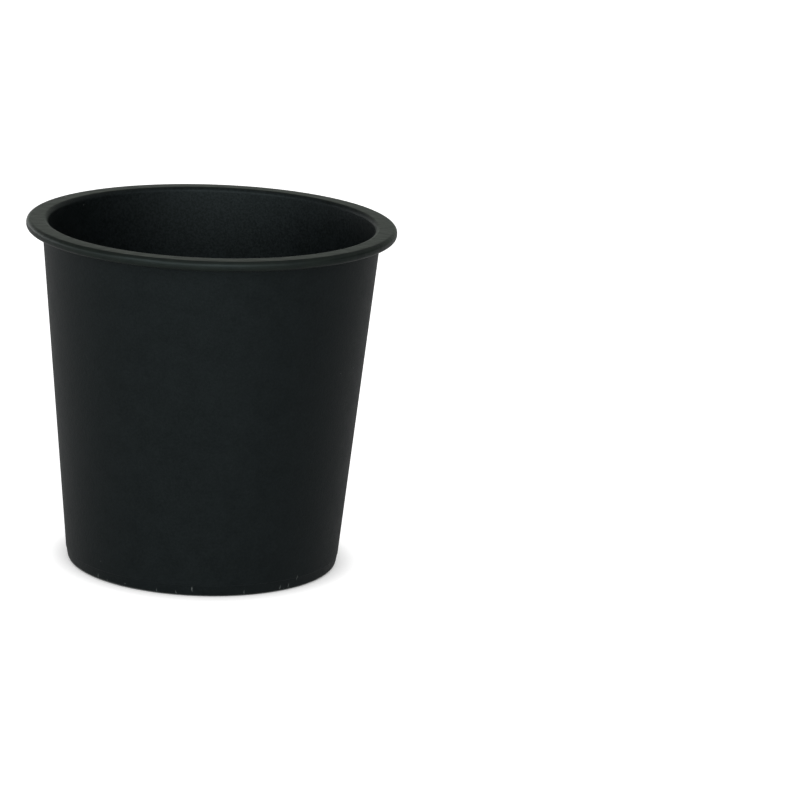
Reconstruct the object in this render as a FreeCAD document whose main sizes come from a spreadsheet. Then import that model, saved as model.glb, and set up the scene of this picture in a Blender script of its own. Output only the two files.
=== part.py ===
import FreeCAD, Part

import os

import Sketcher

# A round nursery pot moulded in one piece, with a screwed drain plug in its floor.
# The pot stands on its foot ring on the XY plane, with its axis on Z.
# Four ribs cross the recess under the floor and meet at the boss that the mould was fed through.
# The plug sits off the axis, between two ribs, and screws into a collar that rises inside the pot.

# Driving dimensions in millimetres, apart from counts and the angle in degrees.
SIZES = {
    "pot_height": (155.0, "foot to the top of the rim"),
    "rim_diameter": (164.0, "outside of the rim"),
    "rim_depth": (4.5, "height of the rim's outer edge"),
    "rim_top_round": (2.4, "rounding of the rim's outer upper edge"),
    "rim_inner_round": (2.3, "rounding from the rim's top into the inside wall"),
    "rim_under_bevel": (0.7, "bevel of the rim's outer lower edge"),
    "collar_diameter": (149.6, "outside of the wall where it meets the rim"),
    "foot_diameter": (121.5, "outside of the wall at the foot"),
    "foot_bevel": (0.8, "bevel of the foot's outer edge"),
    "foot_ring": (2.9, "width of the ring that the pot stands on"),
    "wall": (3.0, "thickness of the tapered wall, measured level"),
    "recess": (3.0, "depth of the recess under the floor"),
    "floor": (2.8, "thickness of the floor"),
    "floor_bevel": (2.0, "bevel that fills the corner between the floor and the inside wall"),
    "rib_width": (1.3, "thickness of a rib under the floor"),
    "rib_count": (4, "ribs around the axis"),
    "gate_diameter": (8.0, "boss where the ribs meet"),
    "gate_rise": (0.4, "height of the boss's face above the foot"),
    "drain_offset": (22.6, "distance of the drain from the axis along X and along Y"),
    "drain_bore": (14.1, "diameter of the hole for the plug"),
    "drain_lead": (0.6, "bevel of the hole's upper mouth"),
    "drain_collar": (21.0, "outside diameter of the collar round the hole"),
    "drain_collar_rise": (6.0, "height of the collar above the floor"),
    "plug_face_rise": (0.3, "height of the plug's face above the foot"),
    "plug_head": (21.5, "diameter of the plug's head"),
    "plug_head_bevel": (0.5, "bevel of the head's edge"),
    "plug_flange": (24.2, "diameter of the flange that seals on the floor"),
    "plug_flange_depth": (0.9, "thickness of the flange"),
    "plug_shank": (14.0, "diameter of the plug's shank"),
    "plug_shank_end": (1.2, "height of the shank's end above the collar"),
    "plug_shank_bevel": (0.8, "bevel of the shank's end"),
    "plug_core": (9.4, "diameter of the hollow in the shank"),
    "plug_core_floor": (3.0, "plastic left between the slot and the hollow"),
    "slot_length": (12.3, "length of each slot across the plug's face"),
    "slot_width": (2.8, "width of each slot"),
    "slot_depth": (2.6, "depth of the slots"),
    "plug_turn": (-25.0, "turn of the slots from the X axis"),
}

RIM_UNDERSIDE = "(Sizes.pot_height - Sizes.rim_depth)"
FLOOR_TOP = "(Sizes.recess + Sizes.floor)"
COLLAR_TOP = "(Sizes.recess + Sizes.floor + Sizes.drain_collar_rise)"
FULL_TURN = 360.0
QUARTER_TURN = 90.0
SAME_HEIGHT = 0.01
CUT_THROUGH = "ThroughAll"


def value(alias):
    """The number of one driving dimension."""
    return SIZES[alias][0]


def wall_radius(height):
    """Expression for the outside radius of the tapered wall at a height, as a straight line from foot to rim."""
    taper = f"(Sizes.collar_diameter - Sizes.foot_diameter) * {height} / {RIM_UNDERSIDE}"
    return f"((Sizes.foot_diameter + {taper}) / 2)"


def sheet_of_sizes(doc):
    """Spreadsheet with one row for each driving dimension: its meaning, its number and its name."""
    sheet = doc.addObject("Spreadsheet::Sheet", "Sizes")
    for row, (alias, (number, meaning)) in enumerate(SIZES.items(), start=1):
        sheet.set(f"A{row}", meaning)
        sheet.set(f"B{row}", str(number))
        sheet.setAlias(f"B{row}", alias)
    doc.recompute()
    return sheet


def new_body(doc, label):
    """Empty body whose label names its file."""
    body = doc.addObject("PartDesign::Body", label)
    body.Label = label
    return body


def origin_part(body, role):
    """Plane or axis of the body's own origin."""
    return next(part for part in body.Origin.OriginFeatures if part.Role == role)


def new_sketch(body, name, role, rise=None):
    """Sketch on one of the body's own planes, lifted off it by an expression where one is given."""
    sketch = body.newObject("Sketcher::SketchObject", name)
    sketch.AttachmentSupport = (origin_part(body, role), [""])
    sketch.MapMode = "FlatFace"
    if rise:
        sketch.setExpression("AttachmentOffset.Base.z", rise)
    return sketch


def place_point(sketch, line, point, kind, axis, expression):
    """Holds one coordinate of a point: on the axis where there is no expression, else by a bound distance."""
    if expression is None:
        sketch.addConstraint(Sketcher.Constraint("PointOnObject", line, point, axis))
        return
    index = sketch.addConstraint(Sketcher.Constraint(kind, -1, 1, line, point, 1.0))
    sketch.setExpression(f"Constraints[{index}]", expression)


def outline(sketch, corners):
    """Closed outline of straight lines, with each corner held by two expressions measured from the origin.

    The lines start on a parabola, where no two are in line, and the constraints bring them to their places.
    """
    starts = [FreeCAD.Vector(number + 1, number * number + 1, 0) for number in range(len(corners))]
    for number, start in enumerate(starts):
        sketch.addGeometry(Part.LineSegment(start, starts[(number + 1) % len(starts)]))
    for number in range(len(corners)):
        following = (number + 1) % len(corners)
        sketch.addConstraint(Sketcher.Constraint("Coincident", number, 2, following, 1))
    for number, (across, up) in enumerate(corners):
        place_point(sketch, number, 1, "DistanceX", -2, across)
        place_point(sketch, number, 1, "DistanceY", -1, up)


def disc(sketch, diameter, across=None, up=None):
    """Circle of a bound diameter, on the origin or at two bound distances from it."""
    circle = Part.Circle(FreeCAD.Vector(1, 1, 0), FreeCAD.Vector(0, 0, 1), 1.0)
    sketch.addGeometry(circle)
    index = sketch.addConstraint(Sketcher.Constraint("Diameter", 0, 2.0))
    sketch.setExpression(f"Constraints[{index}]", diameter)
    place_point(sketch, 0, 3, "DistanceX", -2, across)
    place_point(sketch, 0, 3, "DistanceY", -1, up)


def revolved(body, name, corners):
    """Solid turned once round Z from an outline of radii and heights."""
    sketch = new_sketch(body, name + "_outline", "XZ_Plane")
    outline(sketch, corners)
    solid = body.newObject("PartDesign::Revolution", name)
    solid.Profile = sketch
    solid.ReferenceAxis = (sketch, ["V_Axis"])
    solid.Angle = FULL_TURN
    body.Document.recompute()
    return solid


def padded(body, name, sketch, length):
    """Solid added upwards from a sketch, over a bound length."""
    pad = body.newObject("PartDesign::Pad", name)
    pad.Profile = sketch
    pad.setExpression("Length", length)
    body.Document.recompute()
    return pad


def pocketed(body, name, sketch, length=None):
    """Hole cut upwards from a sketch, over a bound length or through everything."""
    before = body.Shape.Volume
    pocket = body.newObject("PartDesign::Pocket", name)
    pocket.Profile = sketch
    pocket.Reversed = True
    if length:
        pocket.setExpression("Length", length)
    else:
        pocket.Type = CUT_THROUGH
    body.Document.recompute()
    if body.Shape.Volume >= before:
        raise RuntimeError(f"{name} cuts nothing")
    return pocket


def repeated(body, name, feature, sketch, angle, count):
    """The feature repeated round Z."""
    pattern = body.newObject("PartDesign::PolarPattern", name)
    pattern.Originals = [feature]
    pattern.Axis = (sketch, ["N_Axis"])
    pattern.Angle = angle
    if isinstance(count, str):
        pattern.setExpression("Occurrences", count)
    else:
        pattern.Occurrences = count
    body.Tip = pattern
    body.Document.recompute()
    return pattern


def ring_edge(shape, height, radius, centre=(0.0, 0.0)):
    """Name of the circular edge round a centre at a height whose radius is nearest to the one given."""
    found = []
    for number, edge in enumerate(shape.Edges, start=1):
        if not isinstance(edge.Curve, Part.Circle):
            continue
        middle = edge.Curve.Center
        aside = abs(middle.x - centre[0]) + abs(middle.y - centre[1])
        if abs(middle.z - height) < SAME_HEIGHT and aside < SAME_HEIGHT:
            found.append((abs(edge.Curve.Radius - radius), f"Edge{number}"))
    return min(found)[1]


def dressed(body, kind, name, edge, size):
    """Fillet or chamfer of a bound size on one named edge of what the body holds so far."""
    base = body.Tip
    dress = body.newObject("PartDesign::" + kind, name)
    dress.Base = (base, [edge])
    dress.setExpression("Radius" if kind == "Fillet" else "Size", size)
    body.Document.recompute()
    return dress


def rounded_ring(body, name, height, radius, size):
    """Fillet along one circular edge round Z."""
    edge = ring_edge(body.Tip.Shape, height, radius)
    return dressed(body, "Fillet", name, edge, size)


def bevelled_ring(body, name, height, radius, size, centre=(0.0, 0.0)):
    """Chamfer along one circular edge."""
    edge = ring_edge(body.Tip.Shape, height, radius, centre)
    return dressed(body, "Chamfer", name, edge, size)


def pot_shell(body):
    """Wall, rim, floor and foot ring as one turned outline, with its edges rounded."""
    foot_inside = "(Sizes.foot_diameter / 2 - Sizes.foot_ring)"
    revolved(body, "shell", [
        (foot_inside, None),
        (wall_radius("0"), None),
        (wall_radius(RIM_UNDERSIDE), RIM_UNDERSIDE),
        ("Sizes.rim_diameter / 2", RIM_UNDERSIDE),
        ("Sizes.rim_diameter / 2", "Sizes.pot_height"),
        (wall_radius("Sizes.pot_height") + " - Sizes.wall", "Sizes.pot_height"),
        (wall_radius(FLOOR_TOP) + " - Sizes.wall", FLOOR_TOP),
        (None, FLOOR_TOP),
        (None, "Sizes.recess"),
        (foot_inside, "Sizes.recess"),
    ])
    top = value("pot_height")
    under = top - value("rim_depth")
    floor_top = value("recess") + value("floor")
    rim = value("rim_diameter") / 2
    neck = value("collar_diameter") / 2
    foot = value("foot_diameter") / 2
    rounded_ring(body, "rim_top_edge", top, rim, "Sizes.rim_top_round")
    rounded_ring(body, "rim_inner_edge", top, neck - value("wall"), "Sizes.rim_inner_round")
    bevelled_ring(body, "rim_lower_edge", under, rim, "Sizes.rim_under_bevel")
    bevelled_ring(body, "foot_edge", 0.0, foot, "Sizes.foot_bevel")
    bevelled_ring(body, "floor_corner", floor_top, foot - value("wall"), "Sizes.floor_bevel")


def pot_ribs(body):
    """One rib from the axis into the foot ring, flush with the foot, repeated into a cross."""
    sketch = new_sketch(body, "rib_outline", "XY_Plane")
    reach = "Sizes.foot_diameter / 2 - Sizes.foot_ring / 2"
    outline(sketch, [
        (None, "-Sizes.rib_width / 2"),
        (reach, "-Sizes.rib_width / 2"),
        (reach, "Sizes.rib_width / 2"),
        (None, "Sizes.rib_width / 2"),
    ])
    rib = padded(body, "rib", sketch, FLOOR_TOP + " - Sizes.floor / 2")
    repeated(body, "ribs", rib, sketch, FULL_TURN, "Sizes.rib_count")


def pot_gate(body):
    """Round boss where the ribs meet, cut back above the foot."""
    clearing = new_sketch(body, "gate_clearing_outline", "XY_Plane")
    disc(clearing, "Sizes.gate_diameter")
    pocketed(body, "gate_clearing", clearing, "Sizes.gate_rise")
    boss = new_sketch(body, "gate_outline", "XY_Plane", "Sizes.gate_rise")
    disc(boss, "Sizes.gate_diameter")
    padded(body, "gate", boss, FLOOR_TOP + " - Sizes.floor / 2 - Sizes.gate_rise")


def pot_drain(body):
    """Collar that rises from the floor, and the hole through collar and floor, bevelled at its upper mouth."""
    aside = "-Sizes.drain_offset"
    centre = (-value("drain_offset"), -value("drain_offset"))
    collar = new_sketch(body, "collar_outline", "XY_Plane", "Sizes.recess + Sizes.floor / 2")
    disc(collar, "Sizes.drain_collar", aside, aside)
    padded(body, "collar", collar, "Sizes.floor / 2 + Sizes.drain_collar_rise")
    hole = new_sketch(body, "hole_outline", "XY_Plane")
    disc(hole, "Sizes.drain_bore", aside, aside)
    pocketed(body, "hole", hole)
    collar_top = value("recess") + value("floor") + value("drain_collar_rise")
    bevelled_ring(body, "hole_mouth", collar_top, value("drain_bore") / 2, "Sizes.drain_lead", centre)


def make_pot(doc):
    """The pot, moulded in one piece."""
    body = new_body(doc, "pot")
    pot_shell(body)
    pot_ribs(body)
    pot_gate(body)
    pot_drain(body)
    return body


def make_plug(doc):
    """The drain plug: a head with a sealing flange, a hollow shank and a crossed slot in its face."""
    body = new_body(doc, "drain_plug")
    flange_low = "(Sizes.recess - Sizes.plug_flange_depth)"
    shank_top = COLLAR_TOP + " + Sizes.plug_shank_end"
    core_low = "Sizes.plug_face_rise + Sizes.slot_depth + Sizes.plug_core_floor"
    revolved(body, "turned", [
        (None, "Sizes.plug_face_rise"),
        ("Sizes.plug_head / 2", "Sizes.plug_face_rise"),
        ("Sizes.plug_head / 2", flange_low),
        ("Sizes.plug_flange / 2", flange_low),
        ("Sizes.plug_flange / 2", "Sizes.recess"),
        ("Sizes.plug_shank / 2", "Sizes.recess"),
        ("Sizes.plug_shank / 2", shank_top),
        ("Sizes.plug_core / 2", shank_top),
        ("Sizes.plug_core / 2", core_low),
        (None, core_low),
    ])
    end = value("recess") + value("floor") + value("drain_collar_rise") + value("plug_shank_end")
    bevelled_ring(body, "head_edge", value("plug_face_rise"), value("plug_head") / 2, "Sizes.plug_head_bevel")
    bevelled_ring(body, "shank_edge", end, value("plug_shank") / 2, "Sizes.plug_shank_bevel")
    sketch = new_sketch(body, "slot_outline", "XY_Plane", "Sizes.plug_face_rise")
    outline(sketch, [
        ("-Sizes.slot_length / 2", "-Sizes.slot_width / 2"),
        ("Sizes.slot_length / 2", "-Sizes.slot_width / 2"),
        ("Sizes.slot_length / 2", "Sizes.slot_width / 2"),
        ("-Sizes.slot_length / 2", "Sizes.slot_width / 2"),
    ])
    slot = pocketed(body, "slot", sketch, "Sizes.slot_depth")
    repeated(body, "slots", slot, sketch, QUARTER_TURN, 2)
    body.setExpression("Placement.Base.x", "-Sizes.drain_offset")
    body.setExpression("Placement.Base.y", "-Sizes.drain_offset")
    body.Placement.Rotation = FreeCAD.Rotation(FreeCAD.Vector(0, 0, 1), value("plug_turn"))
    doc.recompute()
    return body


def check(doc, bodies):
    """Stops the build where any object failed or any piece is not one valid solid."""
    for item in doc.Objects:
        if "Invalid" in item.State or "Error" in item.State:
            raise RuntimeError(f"{item.Name} failed: {item.State}")
    for body in bodies:
        shape = body.Shape
        if shape.isNull() or not shape.isValid() or len(shape.Solids) != 1:
            raise RuntimeError(f"{body.Label} is not one valid solid")


def main():
    doc = FreeCAD.newDocument("nursery_pot")
    sheet_of_sizes(doc)
    bodies = [make_pot(doc), make_plug(doc)]
    check(doc, bodies)
    os.makedirs("parts", exist_ok=True)
    for body in bodies:
        body.Shape.exportStep(os.path.join("parts", body.Label + ".step"))
        box = body.Shape.BoundBox
        print(body.Label, "volume", round(body.Shape.Volume, 1), "from", round(box.ZMin, 3), "to", round(box.ZMax, 3))


main()
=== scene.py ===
import math

import bpy
import numpy as np
from mathutils import Matrix, Vector


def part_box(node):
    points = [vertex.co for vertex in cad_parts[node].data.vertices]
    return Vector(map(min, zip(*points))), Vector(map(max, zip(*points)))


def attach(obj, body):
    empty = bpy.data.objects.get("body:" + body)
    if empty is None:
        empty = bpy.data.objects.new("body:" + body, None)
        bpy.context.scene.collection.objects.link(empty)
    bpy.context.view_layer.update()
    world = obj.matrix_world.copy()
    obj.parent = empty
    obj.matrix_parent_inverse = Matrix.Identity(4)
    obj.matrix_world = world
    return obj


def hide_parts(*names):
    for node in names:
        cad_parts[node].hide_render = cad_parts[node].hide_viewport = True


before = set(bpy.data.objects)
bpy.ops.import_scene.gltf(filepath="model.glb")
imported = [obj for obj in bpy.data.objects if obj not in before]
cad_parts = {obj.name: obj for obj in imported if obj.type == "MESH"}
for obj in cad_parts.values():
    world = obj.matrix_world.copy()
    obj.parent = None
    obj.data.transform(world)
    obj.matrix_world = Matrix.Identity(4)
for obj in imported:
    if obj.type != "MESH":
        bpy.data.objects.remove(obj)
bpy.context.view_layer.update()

# A black nursery pot moulded in one piece, and the screwed drain plug in its floor.
# Lengths are in millimetres in the values and functions for shapes, and in metres in meshes,
# materials and the studio.
MM = 0.001

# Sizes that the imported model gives.
pot_low, pot_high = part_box("pot")
plug_low, plug_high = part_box("drain_plug")
HEIGHT = pot_high.z / MM
RIM_RADIUS = min(pot_high.x, pot_high.y, -pot_low.x, -pot_low.y) / MM
DRAIN_CENTRE = ((plug_low + plug_high) / 2).xy / MM
PLUG_FACE = plug_low.z / MM
PLUG_TOP = plug_high.z / MM
FLANGE_RADIUS = min(plug_high.x - plug_low.x, plug_high.y - plug_low.y) / MM / 2

# Wall and rim.
FOOT_RADIUS = 60.75
NECK_RADIUS = 74.8
NECK_HEIGHT = HEIGHT - 4.5
WALL = 2.75
RIM_UNDERSIDE = HEIGHT - 4.35
RIM_TOP_ROUND = 1.95
RIM_INNER_ROUND = 2.2
RIM_LOWER_ROUND = 1.75
RIM_ROOT_ROUND = 0.5

# Foot: below a small step in the wall it leans in, and then it rounds under.
FOOT_BAND = 5.3
FOOT_BAND_STEP = 0.14
FOOT_BAND_DROP = 0.18
FOOT_BAND_ROUND = 0.12
FOOT_LEAN = 0.5
FOOT_ROUND = 1.9
FOOT_INNER_ROUND = 0.35
FOOT_RING = 2.9

# Floor, the recess below it, and how far the section runs in over each before a flat face closes it.
RECESS = 3.0
RECESS_ROUND = 0.7
RECESS_LAND = 4.0
FLOOR_TOP = 5.8
FLOOR_ROUND = 2.4
FLOOR_LAND = 6.0
FLOOR_MIDDLE = (RECESS + FLOOR_TOP) / 2
ROOT_OVERLAP = 0.02

# Ribs.
RIB_COUNT = 4
RIB_WIDTH = 1.3
RIB_FOOT = 0.04
RIB_DRAFT = 0.04
RIB_ROUND = 0.3
RIB_FLARE = 0.5
RIB_SKIRT = 1.4
RIB_INTO_GATE = 0.1
RIB_INTO_FOOT = 1.0

# Gate boss, and the torn stub in its middle: radius, height above the boss's face, and rounding.
GATE_RADIUS = 4.0
GATE_FACE = 0.4
GATE_ROUND = 0.3
GATE_STUB = [(0.05, -0.22, 0), (0.75, -0.18, 0.1), (1.15, 0.3, 0.12), (1.75, 0.0, 0.3)]
# Waves that roughen the stub: height, then steepness and shift along x, and along y.
TORN_WAVES = [(0.08, 3.1, 1.0, 2.7, 0.0), (0.04, 9.0, 2.0, 8.1, 1.0)]
TORN_REACH = 1.4

# Drain collar and its bore.
HUB_RADIUS = 2.0
COLLAR_RADIUS = 10.5
COLLAR_SKIRT = 2.0
COLLAR_TOP = 11.8
COLLAR_ROUND = 0.6
COLLAR_ROOT_ROUND = 1.0
BORE_RADIUS = 7.05
BORE_LEAD = 0.6
BORE_BELOW = 1.0
BORE_ABOVE = 0.8

# Screw thread. Its starts are heights above the recess's ceiling.
THREAD_PITCH = 1.9
THREAD_DEPTH = 0.55
THREAD_CREST = 2.2
THREAD_FLANK = 6.0
GROOVE_START = 0.4
GROOVE_FADE = 0.8
RIDGE_START = 0.5
RIDGE_PAST_TOP = 0.2
RIDGE_FADE = 0.6

# Plug.
PLUG_HUB = 1.0
HEAD_RADIUS = 10.75
HEAD_ROUND = 0.55
HEAD_STEP_ROUND = 0.15
FLANGE_LOW = 2.1
FLANGE_ROUND = 0.25
SHANK_RADIUS = 7.0
SHANK_BEVEL = 0.8
SHANK_TIP_ROUND = 0.2
SHANK_MARGIN = 0.01
CORE_RADIUS = 4.7
CORE_LIP_ROUND = 0.3
CORE_DRAFT = 0.1
CORE_LOW = 5.9
CORE_FLOOR_ROUND = 0.5

# Crossed slots, and their levels from outside the plug's face inwards: height above the face, and
# how much the slot's outline has grown there.
PLUG_TURN = -25.0
SLOT_LENGTH = 12.3
SLOT_WIDTH = 2.8
SLOT_DEPTH = 2.6
SLOT_CORNER = 0.5
SLOT_LIP = 0.18
SLOT_LEVELS = np.array([
    (-0.4, SLOT_LIP + 0.2),
    (0.0, SLOT_LIP),
    (SLOT_LIP * 0.4, SLOT_LIP * 0.35),
    (SLOT_LIP, 0.0),
    (SLOT_DEPTH - 0.25, -0.06),
    (SLOT_DEPTH, -0.3),
])

# How finely the surfaces are cut. Angles are in degrees.
TURNS = 288
DRAIN_TURNS = 120
GATE_TURNS = 96
GATE_STEP = 0.6
ARC_STEP = 10.0
SLOT_ARC_STEP = 15
NEARLY_STRAIGHT = 89.5
LONGEST_STEP = 9.0
THREAD_STEP = 0.2
SMOOTH_BELOW = 33.0


def wall_radius(height):
    """Outside radius of the tapered wall: a straight line from foot to neck over the height."""
    return FOOT_RADIUS + (NECK_RADIUS - FOOT_RADIUS) * height / NECK_HEIGHT


def rounded_outline(corners):
    """Points along straight lines through (radius, height, rounding) corners, with each corner an arc.

    The arc touches both lines, so its centre lies on the bisector at rounding / sin(half the
    corner's angle), and its points are a spherical blend of the two touching directions.
    """
    spots = np.array([corner[:2] for corner in corners], float)
    points = [spots[:1]]
    for before, here, after, (_, _, rounding) in zip(spots, spots[1:], spots[2:], corners[1:-1]):
        to_before = (before - here) / np.linalg.norm(before - here)
        to_after = (after - here) / np.linalg.norm(after - here)
        half = math.acos(np.clip(to_before @ to_after, -1, 1)) / 2
        if rounding == 0 or half > math.radians(NEARLY_STRAIGHT):
            points.append(here[None])
            continue
        bisector = (to_before + to_after) / np.linalg.norm(to_before + to_after)
        centre = here + bisector * rounding / math.sin(half)
        start = (here + to_before * rounding / math.tan(half) - centre) / rounding
        end = (here + to_after * rounding / math.tan(half) - centre) / rounding
        sweep = math.pi - 2 * half
        count = max(3, math.ceil(math.degrees(sweep) / ARC_STEP) + 1)
        share = np.linspace(0, 1, count)[:, None]
        blend = np.sin((1 - share) * sweep) * start + np.sin(share * sweep) * end
        points.append(centre + rounding * blend / math.sin(sweep))
    points.append(spots[-1:])
    return np.concatenate(points)


def with_steps(outline, longest):
    """The outline with evenly spaced points added on every line longer than the longest step."""
    pieces = []
    for start, end in zip(outline, outline[1:]):
        count = max(1, math.ceil(np.linalg.norm(end - start) / longest))
        share = np.arange(count)[:, None] / count
        pieces.append(start + (end - start) * share)
    pieces.append(outline[-1:])
    return np.concatenate(pieces)


def turned(outline, centre=(0.0, 0.0), turns=TURNS, swell=None):
    """Grid of a profile turned round an upright axis: x = r cos a, y = r sin a, z as it is.

    Where swell is given, the result of swell(angle, height, radius) is added to the radius.
    """
    angle = np.linspace(0, 2 * math.pi, turns, endpoint=False)[None, :]
    radius = outline[:, :1]
    height = outline[:, 1:] + 0 * angle
    if swell is not None:
        radius = radius + swell(angle, height, radius)
    x = centre[0] + radius * np.cos(angle)
    y = centre[1] + radius * np.sin(angle)
    return np.stack([x, y, height], -1)


def swung(along, across, degrees):
    """Flat points swung round the origin: x = cos a u - sin a v, and y = sin a u + cos a v."""
    c, s = math.cos(math.radians(degrees)), math.sin(math.radians(degrees))
    return c * along - s * across, s * along + c * across


def signed_volume(grid, quads):
    """Six times the volume inside the rings, above zero if the faces look out.

    It is the sum of a . (b x c) over the triangles of the faces and of the two end caps.
    """
    flat = grid.reshape(-1, 3)
    middle = flat.mean(0)
    corners = flat[quads] - middle
    total = np.einsum("ij,ij->", corners[:, 0], np.cross(corners[:, 1], corners[:, 2]))
    total += np.einsum("ij,ij->", corners[:, 0], np.cross(corners[:, 2], corners[:, 3]))
    for ring, way in ((grid[0] - middle, -1), (grid[-1] - middle, 1)):
        hub = ring.mean(0)
        total += way * np.einsum("j,ij->", hub, np.cross(ring, np.roll(ring, -1, 0)))
    return total


def closed_mesh(name, grid):
    """Closed mesh of rings of points: four-sided faces between rings, and a flat face at each end."""
    rings, around = grid.shape[:2]
    number = np.arange(rings * around).reshape(rings, around)
    following = np.roll(number, -1, 1)
    quads = np.stack([number[:-1], following[:-1], following[1:], number[1:]], -1).reshape(-1, 4)
    faces = quads.tolist() + [number[0, ::-1].tolist(), number[-1].tolist()]
    mesh = bpy.data.meshes.new(name)
    mesh.from_pydata((grid.reshape(-1, 3) * MM).tolist(), [], faces)
    mesh.update()
    if signed_volume(grid, quads) < 0:
        mesh.flip_normals()
    piece = bpy.data.objects.new(name, mesh)
    bpy.context.scene.collection.objects.link(piece)
    return piece


def combined(body, tool, operation):
    """The body with the tool joined to it or cut out of it. The tool is used up."""
    step = body.modifiers.new(operation, "BOOLEAN")
    step.operation = operation
    step.solver = "EXACT"
    step.object = tool
    mesh = bpy.data.meshes.new_from_object(body.evaluated_get(bpy.context.evaluated_depsgraph_get()))
    body.modifiers.clear()
    body.data = mesh
    bpy.data.objects.remove(tool)
    return body


def smoothed(piece):
    """Smooth shading but for edges sharper than SMOOTH_BELOW, with flat faces ruling the normals."""
    piece.data.shade_smooth()
    piece.data.set_sharp_from_angle(angle=math.radians(SMOOTH_BELOW))
    normals = piece.modifiers.new("flat_faces_rule", "WEIGHTED_NORMAL")
    normals.keep_sharp = True
    return piece


def shell_outline():
    """Section of the shell: the floor's upper face, inside, rim, outside, foot and recess."""
    foot_inside = FOOT_RADIUS - FOOT_RING
    floor_edge = wall_radius(FLOOR_TOP) - WALL
    corners = [
        (floor_edge - FLOOR_LAND, FLOOR_TOP, 0),
        (floor_edge, FLOOR_TOP, FLOOR_ROUND),
        (wall_radius(HEIGHT) - WALL, HEIGHT, RIM_INNER_ROUND),
        (RIM_RADIUS, HEIGHT, RIM_TOP_ROUND),
        (RIM_RADIUS, RIM_UNDERSIDE, RIM_LOWER_ROUND),
        (wall_radius(RIM_UNDERSIDE), RIM_UNDERSIDE, RIM_ROOT_ROUND),
        (wall_radius(FOOT_BAND) + FOOT_BAND_STEP / 2, FOOT_BAND, FOOT_BAND_ROUND),
        (wall_radius(FOOT_BAND) - FOOT_BAND_STEP / 2, FOOT_BAND - FOOT_BAND_DROP, FOOT_BAND_ROUND),
        (FOOT_RADIUS - FOOT_LEAN, 0, FOOT_ROUND),
        (foot_inside, 0, FOOT_INNER_ROUND),
        (foot_inside, RECESS, RECESS_ROUND),
        (foot_inside - RECESS_LAND, RECESS, 0),
    ]
    return with_steps(rounded_outline(corners), LONGEST_STEP)


def rib_bar(name, turn):
    """One rib: a section rounded below and flared into the floor, drawn out from gate to foot."""
    half = RIB_WIDTH / 2
    side = rounded_outline([
        (0, RIB_FOOT, 0),
        (half, RIB_FOOT, RIB_ROUND),
        (half + RIB_DRAFT, RECESS - ROOT_OVERLAP, RIB_FLARE),
        (half + RIB_SKIRT, RECESS + ROOT_OVERLAP, 0),
        (half + RIB_SKIRT, FLOOR_MIDDLE, 0),
    ])
    section = np.concatenate([side, side[:0:-1] * (-1, 1)])
    ends = np.array([GATE_RADIUS - RIB_INTO_GATE, FOOT_RADIUS - FOOT_RING + RIB_INTO_FOOT])
    along = np.broadcast_to(ends[:, None], (2, len(section)))
    across = np.broadcast_to(section[:, 0], along.shape)
    height = np.broadcast_to(section[:, 1], along.shape)
    x, y = swung(along, across, turn)
    return closed_mesh(name, np.stack([x, y, height], -1))


def gate_boss():
    """Boss where the ribs meet, with the torn stub that the mould's feed leaves.

    It is a turned section whose height has two products of sines in x and y added, which fade from
    the middle as exp(-(r^2 / reach)^2).
    """
    stub = [(radius, GATE_FACE + rise, rounding) for radius, rise, rounding in GATE_STUB]
    edge = [(GATE_RADIUS, GATE_FACE, GATE_ROUND), (GATE_RADIUS, FLOOR_MIDDLE, 0)]
    outline = rounded_outline(stub + edge)
    grid = turned(with_steps(outline, GATE_STEP), turns=GATE_TURNS)
    x, y, z = np.moveaxis(grid, -1, 0)
    torn = sum(height * np.sin(steep_x * x + shift_x) * np.sin(steep_y * y + shift_y)
               for height, steep_x, shift_x, steep_y, shift_y in TORN_WAVES)
    grid[..., 2] = z + torn * np.exp(-((x**2 + y**2) / TORN_REACH) ** 2)
    return closed_mesh("gate_boss", grid)


def thread_wave(angle, height):
    """Screw thread between 0 and 1: a trapezoid wave of height / pitch minus angle / full turn."""
    phase = (height / THREAD_PITCH - angle / (2 * math.pi)) % 1.0
    return np.clip(THREAD_CREST - THREAD_FLANK * np.abs(phase - 0.5), 0, 1)


def faded(height, low, high, run):
    """1 between low and high, falling to 0 over a run at both ends."""
    return np.clip((height - low) / run, 0, 1) * np.clip((high - height) / run, 0, 1)


def threaded_bore():
    """Space inside the collar: a cylinder widened by the thread's wave, and wider at its mouth."""
    lead = [
        (BORE_RADIUS, RECESS - BORE_BELOW, 0),
        (BORE_RADIUS, COLLAR_TOP - BORE_LEAD, 0),
        (BORE_RADIUS + BORE_LEAD + BORE_ABOVE, COLLAR_TOP + BORE_ABOVE, 0),
    ]

    def groove(angle, height, radius):
        reach = faded(height, RECESS + GROOVE_START, COLLAR_TOP - BORE_LEAD, GROOVE_FADE)
        return THREAD_DEPTH * thread_wave(angle, height) * reach

    outline = with_steps(rounded_outline(lead), THREAD_STEP)
    return closed_mesh("threaded_bore", turned(outline, DRAIN_CENTRE, DRAIN_TURNS, groove))


def drain_collar():
    """Collar round the hole: a turned section, flared into the floor and rounded at its top."""
    outline = rounded_outline([
        (HUB_RADIUS, FLOOR_MIDDLE, 0),
        (COLLAR_RADIUS + COLLAR_SKIRT, FLOOR_MIDDLE, 0),
        (COLLAR_RADIUS + COLLAR_SKIRT, FLOOR_TOP - ROOT_OVERLAP, 0),
        (COLLAR_RADIUS, FLOOR_TOP + ROOT_OVERLAP, COLLAR_ROOT_ROUND),
        (COLLAR_RADIUS, COLLAR_TOP, COLLAR_ROUND),
        (HUB_RADIUS, COLLAR_TOP, 0),
    ])
    return closed_mesh("drain_collar", turned(outline, DRAIN_CENTRE, DRAIN_TURNS))


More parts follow.
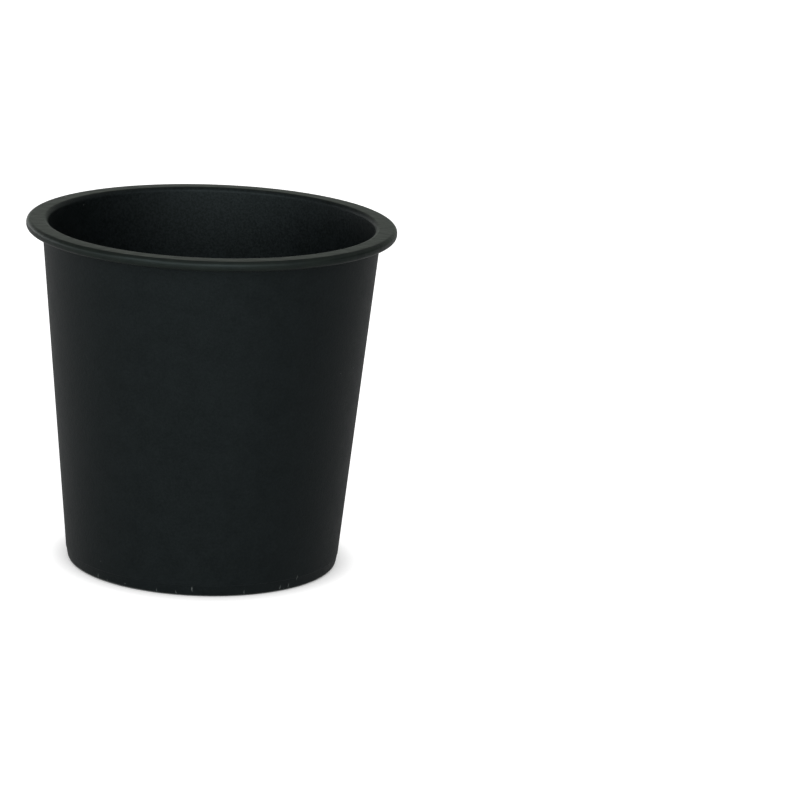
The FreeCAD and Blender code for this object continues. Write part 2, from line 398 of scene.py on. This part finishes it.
def moulded_pot():
    """The whole pot: shell, ribs, gate boss and drain collar joined, and the threaded hole cut."""
    pot = closed_mesh("moulded_pot", turned(shell_outline()))
    for number in range(RIB_COUNT):
        pot = combined(pot, rib_bar(f"rib_{number}", 360 / RIB_COUNT * number), "UNION")
    pot = combined(pot, gate_boss(), "UNION")
    pot = combined(pot, drain_collar(), "UNION")
    pot = combined(pot, threaded_bore(), "DIFFERENCE")
    return smoothed(pot)


def plug_outline():
    """Section of the plug from its face, round head and flange, up the shank and down the hollow."""
    corners = [
        (PLUG_HUB, PLUG_FACE, 0),
        (HEAD_RADIUS, PLUG_FACE, HEAD_ROUND),
        (HEAD_RADIUS, FLANGE_LOW, HEAD_STEP_ROUND),
        (FLANGE_RADIUS, FLANGE_LOW, FLANGE_ROUND),
        (FLANGE_RADIUS, RECESS, FLANGE_ROUND),
        (SHANK_RADIUS, RECESS, 0),
        (SHANK_RADIUS, PLUG_TOP - SHANK_BEVEL, 0),
        (SHANK_RADIUS - SHANK_BEVEL, PLUG_TOP, SHANK_TIP_ROUND),
        (CORE_RADIUS, PLUG_TOP, CORE_LIP_ROUND),
        (CORE_RADIUS - CORE_DRAFT, CORE_LOW, CORE_FLOOR_ROUND),
        (PLUG_HUB, CORE_LOW, 0),
    ]
    return rounded_outline(corners)


def plug_grid():
    """Grid of the plug: the section turned, with the thread's wave taken off the shank."""
    coarse = plug_outline()
    at_shank = np.abs(coarse[:, 0] - SHANK_RADIUS) < SHANK_MARGIN
    start = int(np.flatnonzero(at_shank[:-1] & at_shank[1:])[0])
    shank = with_steps(coarse[start:start + 2], THREAD_STEP)
    outline = np.concatenate([coarse[:start], shank, coarse[start + 2:]])

    def ridge(angle, height, radius):
        reach = faded(height, RECESS + RIDGE_START, PLUG_TOP + RIDGE_PAST_TOP, RIDGE_FADE)
        reach = reach * (np.abs(radius - SHANK_RADIUS) < SHANK_MARGIN)
        return -THREAD_DEPTH * (1 - thread_wave(angle, height)) * reach

    return turned(outline, DRAIN_CENTRE, DRAIN_TURNS, ridge)


def slot_cutter(name, turn):
    """Cutter for one slot: a rounded rectangle stacked upwards, wider at the face for a round lip.

    A corner's points are its centre plus (cos a, sin a) times its rounding with the level's growth.
    """
    height, growth = SLOT_LEVELS.T
    corner = np.radians(np.arange(0, 90 + 1, SLOT_ARC_STEP))[None, :]
    spread = (SLOT_CORNER + growth)[:, None]
    rings = []
    for quarter, (side_x, side_y) in enumerate([(1, 1), (-1, 1), (-1, -1), (1, -1)]):
        way = corner + math.radians(90 * quarter)
        across = side_x * (SLOT_LENGTH / 2 - SLOT_CORNER)
        up = side_y * (SLOT_WIDTH / 2 - SLOT_CORNER)
        rings.append(np.stack([across + spread * np.cos(way), up + spread * np.sin(way)], -1))
    flat = np.concatenate(rings, 1)
    x, y = swung(flat[..., 0], flat[..., 1], turn)
    z = np.broadcast_to((PLUG_FACE + height)[:, None], x.shape)
    return closed_mesh(name, np.stack([DRAIN_CENTRE[0] + x, DRAIN_CENTRE[1] + y, z], -1))


def threaded_plug():
    """The drain plug, with its crossed slots cut into the face."""
    plug = closed_mesh("threaded_plug", plug_grid())
    for number in range(2):
        cutter = slot_cutter(f"slot_{number}", PLUG_TURN + 90 * number)
        plug = combined(plug, cutter, "DIFFERENCE")
    return smoothed(plug)


class Board:
    """Lays out the nodes of one material or node group and joins their sockets."""

    def __init__(self, tree):
        self.tree = tree

    def add(self, kind, settings=None, **inputs):
        """New node with plain settings, and inputs that are numbers, colours or other nodes' sockets.

        An input is called by its name, or by i and its number.
        """
        node = self.tree.nodes.new(kind)
        for name, setting in (settings or {}).items():
            setattr(node, name, setting)
        for name, given in inputs.items():
            by_number = name[0] == "i" and name[1:].isdigit()
            self.feed(node.inputs[int(name[1:])] if by_number else node.inputs[name], given)
        return node

    def feed(self, socket, given):
        """Joins a socket to another, or sets its value."""
        if isinstance(given, bpy.types.NodeSocket):
            self.tree.links.new(given, socket)
        else:
            socket.default_value = given

    def sums(self, operation, first, second=0.0, third=0.0, clamp=False):
        """Result of one Math node."""
        settings = {"operation": operation, "use_clamp": clamp}
        return self.add("ShaderNodeMath", settings, i0=first, i1=second, i2=third).outputs[0]

    def vectors(self, operation, first, second):
        """Result of one Vector Math node that joins two vectors."""
        node = self.add("ShaderNodeVectorMath", {"operation": operation}, i0=first, i1=second)
        return node.outputs[0]

    def product(self, first, *others):
        """All the values multiplied together."""
        for other in others:
            first = self.sums("MULTIPLY", first, other)
        return first

    def rest_of(self, value):
        """What is left of 1 after the value."""
        return self.sums("SUBTRACT", 1.0, value)

    def ramp(self, value, low, high, to_low=0.0, to_high=1.0):
        """Value carried smoothly from one range to another."""
        node = self.add("ShaderNodeMapRange", {"interpolation_type": "SMOOTHSTEP"},
                        i0=value, i1=low, i2=high, i3=to_low, i4=to_high)
        return node.outputs[0]

    def mixed(self, share, first, second):
        """Blend of two colours."""
        node = self.add("ShaderNodeMix", {"data_type": "RGBA"}, i0=share, i6=first, i7=second)
        return node.outputs[2]

    def mixed_value(self, share, first, second):
        """Blend of two values."""
        node = self.add("ShaderNodeMix", {"data_type": "FLOAT"}, i0=share, i2=first, i3=second)
        return node.outputs[0]

    def split(self, vector):
        """The three parts of a vector."""
        return self.add("ShaderNodeSeparateXYZ", None, Vector=vector).outputs

    def noise(self, place, size, detail=2.0, roughness=0.5):
        """Noise whose blobs are about size metres across."""
        mapped = self.vectors("MULTIPLY", place, (1 / size,) * 3)
        node = self.add("ShaderNodeTexNoise", None, Vector=mapped, Scale=1.0, Detail=detail,
                        Roughness=roughness)
        return node.outputs["Fac"]


def new_group(name, inputs, outputs):
    """Shader node group with named sockets, and its board, incoming and outgoing nodes."""
    group = bpy.data.node_groups.new(name, "ShaderNodeTree")
    for label, kind, default in inputs:
        socket = group.interface.new_socket(label, in_out="INPUT", socket_type=kind)
        if default is not None:
            socket.default_value = default
    for label, kind in outputs:
        group.interface.new_socket(label, in_out="OUTPUT", socket_type=kind)
    board = Board(group)
    return group, board, group.nodes.new("NodeGroupInput"), group.nodes.new("NodeGroupOutput")


# Grain: blob sizes, and the noise levels between which speckle and clouds run from -1 to 1.
PIT_SIZE = 0.0004
MOTTLE_SIZE = 0.0012
SPECKLE_SIZE = 0.001
SPECKLE_RANGE = (0.32, 0.68)
CLOUD_SIZE = 0.009
CLOUD_RANGE = (0.3, 0.7)

# Lint and dust. Edges are shares of a cell, and FIBRE_CELL is the size of a fibre's cell in widths
# and lengths of the fibre.
SPECK_SPACING = 0.006
SPECK_EDGE = (0.02, 0.05)
SPECK_ABOVE = 0.86
FIBRE_WIDTH = 0.00028
FIBRE_LENGTH = 0.0034
FIBRE_CELL = (10, 5)
FIBRE_EDGE = (0.02, 0.1)
FIBRE_BEND = 0.0012
FIBRE_BEND_SIZE = 0.002
FIBRE_SHARE = 0.3


def spark_grain_group():
    """Grain of a spark-eroded mould: Height for the surface, Speckle and Clouds for its colour.

    Height is fine noise plus coarser noise times Mottle. Speckle is a fine noise and Clouds a broad
    one, both carried to run from -1 to 1.
    """
    group, board, given, result = new_group(
        "spark_grain",
        [("Place", "NodeSocketVector", None), ("Mottle", "NodeSocketFloat", 1.0)],
        [("Height", "NodeSocketFloat"), ("Speckle", "NodeSocketFloat"), ("Clouds", "NodeSocketFloat")])
    place = given.outputs["Place"]
    pits = board.noise(place, PIT_SIZE, detail=2.0, roughness=0.6)
    mottle = board.noise(place, MOTTLE_SIZE, detail=2.0)
    height = board.sums("ADD", pits, board.product(mottle, given.outputs["Mottle"]))
    board.feed(result.inputs["Height"], height)
    speckle = board.noise(place, SPECKLE_SIZE, detail=2.0, roughness=0.7)
    board.feed(result.inputs["Speckle"], board.ramp(speckle, *SPECKLE_RANGE, -1.0, 1.0))
    clouds = board.noise(place, CLOUD_SIZE, detail=3.0, roughness=0.6)
    board.feed(result.inputs["Clouds"], board.ramp(clouds, *CLOUD_RANGE, -1.0, 1.0))
    return group


def lint_group():
    """Sparse light flecks: small round specks anywhere, and upright fibres where Fibres is above 0.

    A fibre is the middle of a cell, narrow round the pot and long upwards, on a plane of arc length
    and height.
    """
    group, board, given, result = new_group(
        "lint",
        [("Place", "NodeSocketVector", None), ("Fibres", "NodeSocketFloat", 0.0)],
        [("Mask", "NodeSocketFloat")])
    place = given.outputs["Place"]
    specks = board.add("ShaderNodeTexVoronoi", None, Vector=place, Scale=1 / SPECK_SPACING)
    near = board.ramp(specks.outputs["Distance"], *SPECK_EDGE, 1.0, 0.0)
    chosen = board.add("ShaderNodeSeparateColor", None, Color=specks.outputs["Color"]).outputs[0]
    dots = board.product(near, board.sums("GREATER_THAN", chosen, SPECK_ABOVE))
    x, y, z = board.split(place)
    around = board.product(board.sums("ARCTAN2", y, x), FOOT_RADIUS * MM)
    bend = board.product(board.noise(place, FIBRE_BEND_SIZE, detail=1.0), FIBRE_BEND)
    across = board.sums("DIVIDE", board.sums("ADD", around, bend), FIBRE_WIDTH * FIBRE_CELL[0])
    upright = board.sums("DIVIDE", z, FIBRE_LENGTH * FIBRE_CELL[1])
    spread = board.add("ShaderNodeCombineXYZ", None, X=across, Y=upright).outputs[0]
    strands = board.add("ShaderNodeTexVoronoi", {"voronoi_dimensions": "2D"}, Vector=spread, Scale=1.0)
    thin = board.ramp(strands.outputs["Distance"], *FIBRE_EDGE, 1.0, 0.0)
    kept = board.add("ShaderNodeSeparateColor", None, Color=strands.outputs["Color"]).outputs[1]
    fibres = board.product(thin, board.sums("LESS_THAN", kept, FIBRE_SHARE), given.outputs["Fibres"])
    board.feed(result.inputs["Mask"], board.sums("MAXIMUM", dots, fibres))
    return group


SPARK_GRAIN = spark_grain_group()
LINT = lint_group()

# Colours, in linear light.
PLASTIC_BLACK = (0.0006, 0.0011, 0.0012, 1.0)
PLASTIC_WORN = (0.0060, 0.0078, 0.0084, 1.0)
PLASTIC_SHEEN = (0.78, 0.98, 1.0, 1.0)
# Lighter greenish grey of the lip: partly rubbed wear, partly painted sheen.
RIM_WEAR_AND_SHEEN_GREY = (0.0095, 0.0125, 0.0100, 1.0)
GATE_GREY = (0.05, 0.052, 0.05, 1.0)
LINT_PALE = (0.115, 0.127, 0.123, 1.0)
PLUG_BLACK = (0.006, 0.0068, 0.007, 1.0)

# The smoother rim: heights and distances from the axis between which the grain gives way to it.
RIM_SMOOTH_HEIGHTS = (0.1496, 0.1504)
RIM_SMOOTH_RADII = (0.0727, 0.0742)
RIM_ROUGHNESS = 0.34
RIM_WAVES = 5.0
RIM_WAVE_SIZE = 0.005
RIM_GRAIN = 0.4
# How strongly the lip takes that lighter grey, partly rubbed wear and partly painted sheen, varied by
# Clouds.
RIM_WEAR_AND_SHEEN = 0.8
RIM_WEAR_AND_SHEEN_CLOUDS = 0.2

# The grained wall. The middle of its thickness is at radius WALL_MIDDLE + WALL_SLOPE times height.
WALL_MIDDLE = 0.05935
WALL_SLOPE = 0.0934
WALL_ROUGHNESS = 0.46
WALL_ROUGHNESS_SPREAD = 0.02
WALL_MOTTLE = 1.5
WALL_GLOSS = 0.21
SPECKLE_OUTSIDE = 0.2
SPECKLE_INSIDE = 0.65
CLOUD_SHADE = 0.1
WALL_BUMP = 0.35
WALL_BUMP_DEPTH = 0.00012

# Scuffed gate, and heights at which the lint along the foot fades in and out.
GATE_SCUFF_RADII = (0.0034, 0.0041)
GATE_SCUFF_HEIGHT = 0.0016
SCUFF_SIZE = 0.0007
SCUFF_RANGE = (0.35, 0.62)
SCUFF_LEAST = 0.35
LINT_FROM = (0.0004, 0.0016)
LINT_UNTIL = (0.0045, 0.009)

# The glossy plug.
PLUG_MOTTLE = 0.5
PLUG_ROUGHNESS = (0.16, 0.3)
PLUG_RUB_SIZE = 0.004
PLUG_RUB_RANGE = (0.45, 0.7)
PLUG_GLOSS = 0.5
PLUG_BUMP = 0.12
PLUG_BUMP_DEPTH = 0.00004


def new_material(name):
    """Material with an empty board and its surface output."""
    material = bpy.data.materials.new(name)
    material.use_nodes = True
    material.node_tree.nodes.clear()
    board = Board(material.node_tree)
    return material, board, board.add("ShaderNodeOutputMaterial")


def pot_plastic():
    """Black polypropylene with a fine spark-eroded grain, flecked with lint along the foot.

    The rim is smoother, slightly wavy and a lighter grey, partly rubbed wear and partly painted
    sheen, and the torn gate is a milky grey. The grain shows in colour, roughness and height.
    """
    material, board, output = new_material("pot_plastic_grained")
    place = board.add("ShaderNodeTexCoord").outputs["Object"]
    x, y, z = board.split(place)
    from_axis = board.sums("SQRT", board.sums("ADD", board.product(x, x), board.product(y, y)))
    smooth_rim = board.product(board.ramp(z, *RIM_SMOOTH_HEIGHTS),
                               board.ramp(from_axis, *RIM_SMOOTH_RADII))
    wall_middle = board.sums("MULTIPLY_ADD", z, WALL_SLOPE, WALL_MIDDLE)
    inner_face = board.sums("LESS_THAN", from_axis, wall_middle)
    along_foot = board.product(board.ramp(z, *LINT_UNTIL, 1.0, 0.0), board.ramp(z, *LINT_FROM),
                               board.rest_of(inner_face))
    grain = board.add("ShaderNodeGroup", {"node_tree": SPARK_GRAIN}, Place=place, Mottle=WALL_MOTTLE)
    lint = board.add("ShaderNodeGroup", {"node_tree": LINT}, Place=place, Fibres=along_foot)
    speckle, clouds = grain.outputs["Speckle"], grain.outputs["Clouds"]

    strength = board.ramp(inner_face, 0.0, 1.0, SPECKLE_OUTSIDE, SPECKLE_INSIDE)
    shade = board.sums("MULTIPLY_ADD", clouds, CLOUD_SHADE, 0.5)
    shade = board.sums("MULTIPLY_ADD", speckle, strength, shade, clamp=True)
    colour = board.mixed(shade, PLASTIC_BLACK, PLASTIC_WORN)
    # Lip painted a lighter grey: partly rubbed wear, partly painted sheen where the lip catches the
    # light.
    rubbed_and_sheen = board.product(smooth_rim, board.sums("MULTIPLY_ADD", clouds, RIM_WEAR_AND_SHEEN_CLOUDS, RIM_WEAR_AND_SHEEN))
    colour = board.mixed(rubbed_and_sheen, colour, RIM_WEAR_AND_SHEEN_GREY)
    scuffs = board.noise(place, SCUFF_SIZE, detail=4.0, roughness=0.7)
    torn = board.product(board.ramp(from_axis, *GATE_SCUFF_RADII, 1.0, 0.0),
                         board.sums("LESS_THAN", z, GATE_SCUFF_HEIGHT),
                         board.ramp(scuffs, *SCUFF_RANGE, SCUFF_LEAST, 1.0))
    colour = board.mixed(torn, colour, GATE_GREY)
    colour = board.mixed(lint.outputs["Mask"], colour, LINT_PALE)

    roughness = board.sums("MULTIPLY_ADD", clouds, WALL_ROUGHNESS_SPREAD, WALL_ROUGHNESS)
    roughness = board.sums("MULTIPLY_ADD", speckle, WALL_ROUGHNESS_SPREAD, roughness)
    roughness = board.mixed_value(smooth_rim, roughness, RIM_ROUGHNESS)
    waves = board.product(board.noise(place, RIM_WAVE_SIZE, detail=2.0), RIM_WAVES)
    rim_height = board.sums("MULTIPLY_ADD", grain.outputs["Height"], RIM_GRAIN, waves)
    height = board.mixed_value(smooth_rim, grain.outputs["Height"], rim_height)
    bump = board.add("ShaderNodeBump", None, Strength=WALL_BUMP, Distance=WALL_BUMP_DEPTH,
                     Height=height)
    surface = board.add("ShaderNodeBsdfPrincipled", None, **{
        "Base Color": colour, "Roughness": roughness, "Specular IOR Level": WALL_GLOSS,
        "Specular Tint": PLASTIC_SHEEN, "Normal": bump.outputs[0]})
    board.feed(output.inputs["Surface"], surface.outputs[0])
    return material


def plug_plastic():
    """Black plastic from a polished mould: glossy, with faint waves and a few rubbed patches."""
    material, board, output = new_material("plug_plastic_glossy")
    place = board.add("ShaderNodeTexCoord").outputs["Object"]
    grain = board.add("ShaderNodeGroup", {"node_tree": SPARK_GRAIN}, Place=place, Mottle=PLUG_MOTTLE)
    lint = board.add("ShaderNodeGroup", {"node_tree": LINT}, Place=place, Fibres=0.0)
    rubbed_and_sheen = board.ramp(board.noise(place, PLUG_RUB_SIZE, detail=3.0), *PLUG_RUB_RANGE)
    roughness = board.ramp(rubbed_and_sheen, 0.0, 1.0, *PLUG_ROUGHNESS)
    colour = board.mixed(lint.outputs["Mask"], PLUG_BLACK, LINT_PALE)
    bump = board.add("ShaderNodeBump", None, Strength=PLUG_BUMP, Distance=PLUG_BUMP_DEPTH,
                     Height=grain.outputs["Height"])
    surface = board.add("ShaderNodeBsdfPrincipled", None, **{
        "Base Color": colour, "Roughness": roughness, "Specular IOR Level": PLUG_GLOSS,
        "Normal": bump.outputs[0]})
    board.feed(output.inputs["Surface"], surface.outputs[0])
    return material


# Studio floor. It lies a hair below the pot, and under the foot it lets light through.
FLOOR_HALF = 3.0
FLOOR_DROP = 0.00005
FLOOR_GAP = 0.06
FLOOR_GREY = (0.72, 0.72, 0.72, 1.0)
FLOOR_GLOW = 0.95
SHADE_REACH = 0.016
SHADE_SAMPLES = 8

# Sides that light comes from, with the camera in front.
FRONT, BACK, LEFT, RIGHT = (0, -1, 0), (0, 1, 0), (-1, 0, 0), (1, 0, 0)
BACK_LEFT = (-0.94, 0.34, 0)

# Heights, as the sine of the angle above the floor, at which one band of light gives way to the next.
HORIZON_TOP = (0.08, 0.2)
LOW_TOP = (0.15, 0.45)
MIDDLE_TOP = (0.6, 0.85)
OVERHEAD_FROM = (0.7, 0.95)


def grey(level):
    """The same level in red, green and blue."""
    return (level,) * 3


# Lit panels round the pot: the side they are on, their band and their light.
PANELS = [
    (BACK, "low", (0.39, 0.43, 0.38)),
    (BACK, "middle", grey(0.12)),
    (BACK_LEFT, "horizon", grey(0.9)),
    (LEFT, "low", grey(1.0)),
    (LEFT, "middle", grey(0.12)),
    (RIGHT, "middle", grey(0.4)),
    (FRONT, "low", grey(2.9)),
    (FRONT, "middle", grey(1.4)),
    (BACK, "overhead", grey(0.45)),
    (FRONT, "overhead", grey(0.45)),
    (RIGHT, "overhead", grey(0.45)),
    (LEFT, "overhead", grey(0.45)),
]


def white_floor():
    """Large white floor. To the camera it glows enough to be white where nothing shades it.

    From below it is clear, and under the pot's foot it lets light through, so that the pot's
    underside can be seen.
    """
    corners = [(side_x * FLOOR_HALF, side_y * FLOOR_HALF, -FLOOR_DROP)
               for side_x, side_y in [(-1, -1), (1, -1), (1, 1), (-1, 1)]]
    mesh = bpy.data.meshes.new("white_floor")
    mesh.from_pydata(corners, [], [(0, 1, 2, 3)])
    floor = bpy.data.objects.new("white_floor", mesh)
    bpy.context.scene.collection.objects.link(floor)
    material, board, output = new_material("floor_white")
    paths = board.add("ShaderNodeLightPath").outputs
    matt = board.add("ShaderNodeBsdfDiffuse", None, Color=FLOOR_GREY)
    shown = board.sums("MAXIMUM", paths["Is Camera Ray"], paths["Is Transmission Ray"])
    open_sky = board.add("ShaderNodeAmbientOcclusion", {"samples": SHADE_SAMPLES}, Distance=SHADE_REACH)
    level = board.product(shown, open_sky.outputs["AO"], FLOOR_GLOW)
    glow = board.add("ShaderNodeEmission", None, Color=(1, 1, 1, 1), Strength=level)
    lit = board.add("ShaderNodeAddShader", None, i0=matt.outputs[0], i1=glow.outputs[0])
    clear = board.add("ShaderNodeBsdfTransparent")
    behind = board.add("ShaderNodeNewGeometry").outputs["Backfacing"]
    place = board.add("ShaderNodeTexCoord").outputs["Object"]
    from_axis = board.add("ShaderNodeVectorMath", {"operation": "LENGTH"}, i0=place).outputs["Value"]
    near_axis = board.sums("LESS_THAN", from_axis, FLOOR_GAP)
    under_foot = board.product(near_axis, board.rest_of(paths["Is Camera Ray"]))
    see_through = board.sums("MAXIMUM", behind, under_foot)
    both = board.add("ShaderNodeMixShader", None, i0=see_through, i1=lit.outputs[0],
                     i2=clear.outputs[0])
    board.feed(output.inputs["Surface"], both.outputs[0])
    mesh.materials.append(material)


def white_world():
    """World that the camera sees as white, and that lights the pot as lit panels of a studio.

    A panel's light is its level times its band times the square of the cosine between its side and
    the level direction looked in. Nothing here is metal or glass, so only the camera and clear paths
    see the white, and the plastic reflects the panels.
    """
    world = bpy.data.worlds.new("backdrop")
    world.use_nodes = True
    world.node_tree.nodes.clear()
    board = Board(world.node_tree)
    output = board.add("ShaderNodeOutputWorld")
    way = board.add("ShaderNodeTexCoord").outputs["Generated"]
    height = board.split(way)["Z"]
    flat = board.vectors("MULTIPLY", way, (1, 1, 0))
    flat = board.add("ShaderNodeVectorMath", {"operation": "NORMALIZE"}, i0=flat).outputs[0]
    low = board.ramp(height, *LOW_TOP, 1.0, 0.0)
    bands = {
        "horizon": board.ramp(height, *HORIZON_TOP, 1.0, 0.0),
        "low": low,
        "middle": board.sums("SUBTRACT", board.rest_of(low), board.ramp(height, *MIDDLE_TOP)),
        "overhead": board.ramp(height, *OVERHEAD_FROM),
    }
    colour = (0, 0, 0)
    for side, band, level in PANELS:
        cosine = board.add("ShaderNodeVectorMath", {"operation": "DOT_PRODUCT"}, i0=flat, i1=side)
        facing = board.sums("MAXIMUM", cosine.outputs["Value"], 0.0)
        share = board.product(facing, facing, bands[band])
        lit = board.add("ShaderNodeVectorMath", {"operation": "SCALE"}, i0=level, Scale=share)
        colour = board.vectors("ADD", lit.outputs[0], colour)
    paths = board.add("ShaderNodeLightPath").outputs
    seen = board.sums("MAXIMUM", paths["Is Camera Ray"], paths["Is Transmission Ray"])
    shown = board.mixed(seen, colour, (1, 1, 1, 1))
    light = board.add("ShaderNodeBackground", None, Color=shown, Strength=1.0)
    board.feed(output.inputs["Surface"], light.outputs[0])
    bpy.context.scene.world = world


def soft_lamp(name, azimuth, elevation, distance, size, power):
    """Square soft lamp that looks at the pot's middle, with azimuth 0 in front and 90 on the right."""
    lamp = bpy.data.lights.new(name, "AREA")
    lamp.size = size
    lamp.energy = power
    placed = bpy.data.objects.new(name, lamp)
    a, e = math.radians(azimuth), math.radians(elevation)
    back = Vector((math.sin(a) * math.cos(e), -math.cos(a) * math.cos(e), math.sin(e)))
    placed.location = Vector((0, 0, HEIGHT * MM / 2)) + back * distance
    placed.rotation_euler = (-back).to_track_quat("-Z", "Y").to_euler()
    bpy.context.scene.collection.objects.link(placed)


# Camera, from a fit of the photograph's outlines to the pot's sizes. Its place is in millimetres.
PICTURE_WIDTH = 800
FOCAL_PIXELS = 4090.5
SENSOR_WIDTH = 36.0
CAMERA_PLACE = (86.36, -1769.06, 537.96)
CAMERA_PITCH = 14.602
CAMERA_ROLL = 2.499
CAMERA_NEAR = 0.05


def photo_camera():
    """Camera that looks along +Y, pitched down and rolled about its own line of sight."""
    lens = bpy.data.cameras.new("photo_camera")
    lens.sensor_width = SENSOR_WIDTH
    lens.lens = FOCAL_PIXELS / PICTURE_WIDTH * SENSOR_WIDTH
    lens.clip_start = CAMERA_NEAR
    camera = bpy.data.objects.new("photo_camera", lens)
    pitch, roll = math.radians(CAMERA_PITCH), math.radians(CAMERA_ROLL)
    forward = Vector((0, math.cos(pitch), -math.sin(pitch)))
    right = Vector((1, 0, 0))
    up = right.cross(forward)
    rolled_right = math.cos(roll) * right + math.sin(roll) * up
    rolled_up = -math.sin(roll) * right + math.cos(roll) * up
    turn = Matrix((rolled_right, rolled_up, -forward)).transposed()
    camera.matrix_world = Matrix.Translation(Vector(CAMERA_PLACE) * MM) @ turn.to_4x4()
    bpy.context.scene.collection.objects.link(camera)
    bpy.context.scene.camera = camera


def dressed(piece, material, body, node):
    """Gives a piece its finish, hangs it on the body it moves with, and hides the part it replaces."""
    piece.data.materials.clear()
    piece.data.materials.append(material)
    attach(piece, body)
    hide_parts(node)


dressed(moulded_pot(), pot_plastic(), "pot_body", "pot")
dressed(threaded_plug(), plug_plastic(), "plug_body", "drain_plug")
white_floor()
white_world()
soft_lamp("key_lamp", azimuth=-41, elevation=33, distance=1.3, size=0.45, power=1.6)
soft_lamp("fill_lamp", azimuth=11, elevation=33, distance=1.3, size=0.35, power=1.3)
photo_camera()
bpy.context.scene.view_settings.view_transform = "Standard"
